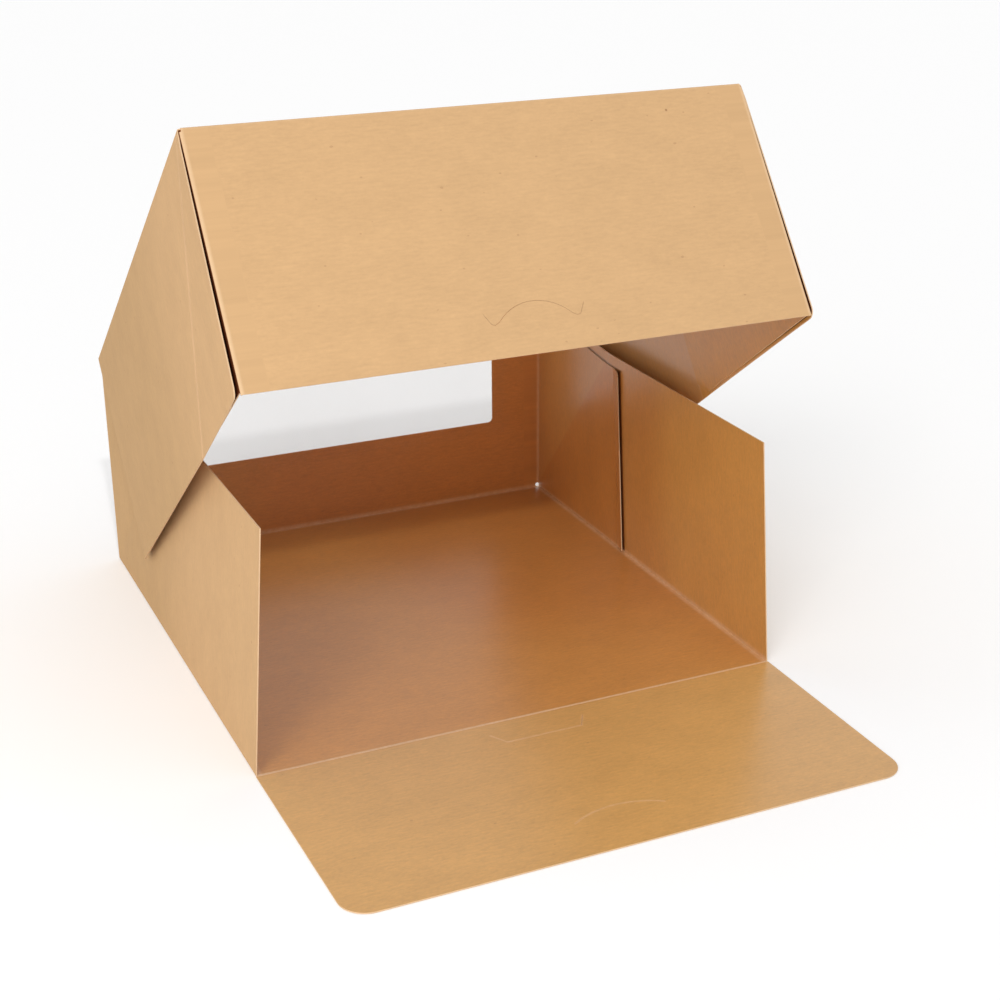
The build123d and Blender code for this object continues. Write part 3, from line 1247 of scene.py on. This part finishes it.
@dataclass(frozen=True)
class HingeFold:
    """A short web of board that closes the seam at a hinge fold, up to the next panel's rounded edge.

    Attributes:
        name: The piece's name.
        low: Its lowest corner.
        high: Its highest corner.
        gap_half: Half the width of the window that it leaves open; 0 for none.
    """

    name: str
    low: Point
    high: Point
    gap_half: float = 0.0

    def stretches(self) -> tuple[Flat, ...]:
        """Where the web starts and ends across the box, on each side of its window."""
        left, right = self.low[0], self.high[0]
        return ((left, -self.gap_half), (self.gap_half, right)) if self.gap_half else ((left, right),)

    def dress(self) -> bpy.types.Material:
        """The worn fold's finish."""
        return KraftBoard(f"{self.name}_worn", Side.CUT).make()

    def build(self) -> bpy.types.Object:
        """Makes the web and lets it ride on the tray.

        Returns:
            The web.
        """
        mesh = bmesh.new()
        for left, right in self.stretches():
            size = Vector((right - left, self.high[1] - self.low[1], self.high[2] - self.low[2]))
            centre = Vector((left, self.low[1], self.low[2])) + size / 2
            placed = Matrix.Translation(centre * MM) @ Matrix.Diagonal((*(size * MM), 1.0))
            bmesh.ops.create_cube(mesh, size=1.0, matrix=placed)
        web = stand(self.name, mesh, [self.dress()])
        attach(web, Body.TRAY.value)
        log.info("%s: closes the seam", self.name)
        return web


@dataclass(frozen=True)
class Window:
    """The clear film over the rear wall's and the lid's opening, with its bend at the lid's fold.

    Attributes:
        opening_half: Half the opening's width.
        sill: Height of the opening's lower edge.
        reach: How far the opening runs into the lid.
        film_half: Half the film's width.
        wall_end: Where the bend meets the rear wall's film.
        bend_middle: Where the bend turns, from the hinge line at the rest pose.
        lid_end: Where it meets the lid's film, from the hinge line of the closed lid.
        steps: Faces along the bend.
    """

    opening_half: float = 106.0
    sill: float = 50.5
    reach: float = 232.0
    film_half: float = 113.9
    wall_end: Point = (0.0, 139.3, 124.95)
    bend_middle: Point = (0.0, -0.55, -0.2)
    lid_end: Point = (0.0, -1.05, -0.4)
    steps: int = 8

    def dress(self) -> bpy.types.Material:
        """Makes the film's finish and gives it to both CAD films.

        Returns:
            The finish.
        """
        film = ClearFilm(self.opening_half, self.sill, self.reach).make()
        for node in ("rear_window_film", "lid_window_film"):
            sheet = frame["nodes"][node]
            sheet.data.materials.clear()
            sheet.data.materials.append(film)
            log.info("%s: film", node)
        return film

    def build(self) -> bpy.types.Object:
        """Makes the film's bend between the two films, as it lies at the rest pose.

        Returns:
            The bend.
        """
        start = Vector(self.wall_end) * MM
        middle = LID.pivot + Vector(self.bend_middle) * MM
        end = LID.matrix @ (Vector(self.lid_end) * MM)
        half = Vector((self.film_half * MM, 0.0, 0.0))
        mesh = bmesh.new()
        edge = None
        for step in range(self.steps + 1):
            t = step / self.steps
            point = start * (1 - t) ** 2 + middle * 2 * t * (1 - t) + end * t**2
            pair = mesh.verts.new(point - half), mesh.verts.new(point + half)
            if edge:
                mesh.faces.new((edge[0], edge[1], pair[1], pair[0])).smooth = True
            edge = pair
        fold = stand("window_film_fold", mesh, [self.dress()])
        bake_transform(fold)
        log.info("window_film_fold: bends between the two films")
        return fold


@dataclass(frozen=True)
class Key:
    """A lamp aimed at the box.

    Attributes:
        name: The lamp's name.
        strength: How brightly it lights the box.
        height: Its height above the level, in degrees.
        turn: How far it stands to the left of the front, in degrees.
        width: How wide it looks from the box, in degrees.
        distance: How far off it is, in metres; 0 for a lamp that is endlessly far.
        target: The place that it is aimed at, in metres.
    """

    name: str
    strength: float
    height: float
    turn: float
    width: float
    distance: float = 0.0
    target: Point = (0.0, -0.03, 0.08)

    def build(self) -> None:
        """Hangs the lamp."""
        height, turn = math.radians(self.height), math.radians(self.turn)
        towards = Vector(
            (-math.sin(turn) * math.cos(height), -math.cos(turn) * math.cos(height), math.sin(height))
        )
        width = math.radians(self.width)
        if self.distance:
            lamp = bpy.data.lights.new(self.name, "AREA")
            lamp.shape = "DISK"
            lamp.size = 2 * self.distance * math.tan(width / 2)
            lamp.energy = self.strength * math.pi * self.distance**2
        else:
            lamp = bpy.data.lights.new(self.name, "SUN")
            lamp.energy = self.strength
            lamp.angle = width
        key = bpy.data.objects.new(self.name, lamp)
        bpy.context.scene.collection.objects.link(key)
        key.location = Vector(self.target) + towards * self.distance
        key.rotation_mode = "QUATERNION"
        key.rotation_quaternion = towards.to_track_quat("Z", "Y")
        log.info("%s: lamp", self.name)


@dataclass(frozen=True)
class Studio:
    """Floor, light and camera.

    Attributes:
        focal_pixels: The photograph's focal length, in its pixels.
        frame_pixels: Its width in pixels.
        sensor: Width of the camera's sensor.
        yaw: How far the camera looks to the right, in degrees.
        pitch: How far it looks down, in degrees.
        roll: How far it is tilted, in degrees.
        eye: Where it stands, in metres.
        floor_size: Width of the floor, in metres.
        floor_drop: How far the floor lies under the box.
        floor_tone: How pale the floor is, 0 to 1.
        floor_roughness: How matt it is.
        world_light: Strength of the light from all round.
        keys: The lamps.
    """

    focal_pixels: float = 1763.05
    frame_pixels: float = 1000.0
    sensor: float = 36.0
    yaw: float = 24.1194
    pitch: float = 21.8682
    roll: float = -0.3517
    eye: Point = (-328.2157 * MM, -841.7609 * MM, 426.8531 * MM)
    floor_size: float = 12.0
    floor_drop: float = 0.2
    floor_tone: float = 0.98
    floor_roughness: float = 0.9
    world_light: float = 0.75
    keys: tuple[Key, ...] = (
        Key("front_key", strength=0.69, height=35.5, turn=9.0, width=1.6),
        Key("left_key", strength=0.72, height=35.0, turn=42.0, width=22.0),
        Key("near_left_key", strength=0.50, height=15.0, turn=46.0, width=26.0, distance=0.8),
    )

    def build(self) -> None:
        """Sets up the whole studio."""
        bpy.context.scene.view_settings.view_transform = "Standard"
        self._floor()
        self._light()
        self._camera()

    def _floor(self) -> None:
        """Lays a plain pale floor."""
        mesh = bmesh.new()
        bmesh.ops.create_grid(mesh, x_segments=1, y_segments=1, size=self.floor_size / 2)
        finish = Finish("pale_floor")
        finish.shader.inputs["Base Color"].default_value = (*(self.floor_tone,) * 3, 1.0)
        finish.shader.inputs["Roughness"].default_value = self.floor_roughness
        floor = stand("floor", mesh, [finish.material])
        floor.location.z = -self.floor_drop * MM

    def _light(self) -> None:
        """Soft light all round, and the keys."""
        world = bpy.data.worlds.new("studio")
        world.use_nodes = True
        background = world.node_tree.nodes["Background"]
        background.inputs["Color"].default_value = (1.0, 1.0, 1.0, 1.0)
        background.inputs["Strength"].default_value = self.world_light
        bpy.context.scene.world = world
        for key in self.keys:
            key.build()

    def _camera(self) -> None:
        """Puts the camera where the photograph was taken from."""
        yaw, pitch, roll = (math.radians(a) for a in (self.yaw, self.pitch, self.roll))
        forward = Vector(
            (math.sin(yaw) * math.cos(pitch), math.cos(yaw) * math.cos(pitch), -math.sin(pitch))
        )
        level = Vector((math.cos(yaw), -math.sin(yaw), 0.0))
        upright = level.cross(forward)
        right = level * math.cos(roll) + upright * math.sin(roll)
        up = upright * math.cos(roll) - level * math.sin(roll)
        data = bpy.data.cameras.new("camera")
        data.sensor_width = self.sensor
        data.lens = self.sensor * self.focal_pixels / self.frame_pixels
        camera = bpy.data.objects.new("camera", data)
        bpy.context.scene.collection.objects.link(camera)
        basis = Matrix((right, up, -forward)).transposed()
        camera.matrix_world = Matrix.Translation(self.eye) @ basis.to_4x4()
        bpy.context.scene.camera = camera


def main() -> None:
    """Builds the box's pieces and the studio round them."""
    logging.basicConfig(level=logging.INFO, format="%(name)s: %(message)s")
    for piece in (
        Tray(),
        Lid(),
        FrontFlap(),
        HingeFold("rear_fold", low=(-139.0, 139.42, 124.9), high=(139.0, 139.98, 125.48), gap_half=106.2),
        HingeFold("front_fold", low=(-139.2, -140.29, 0.02), high=(139.2, -139.9, 0.58)),
        Window(),
        Studio(),
    ):
        piece.build()


if __name__ == "__main__":
    main()
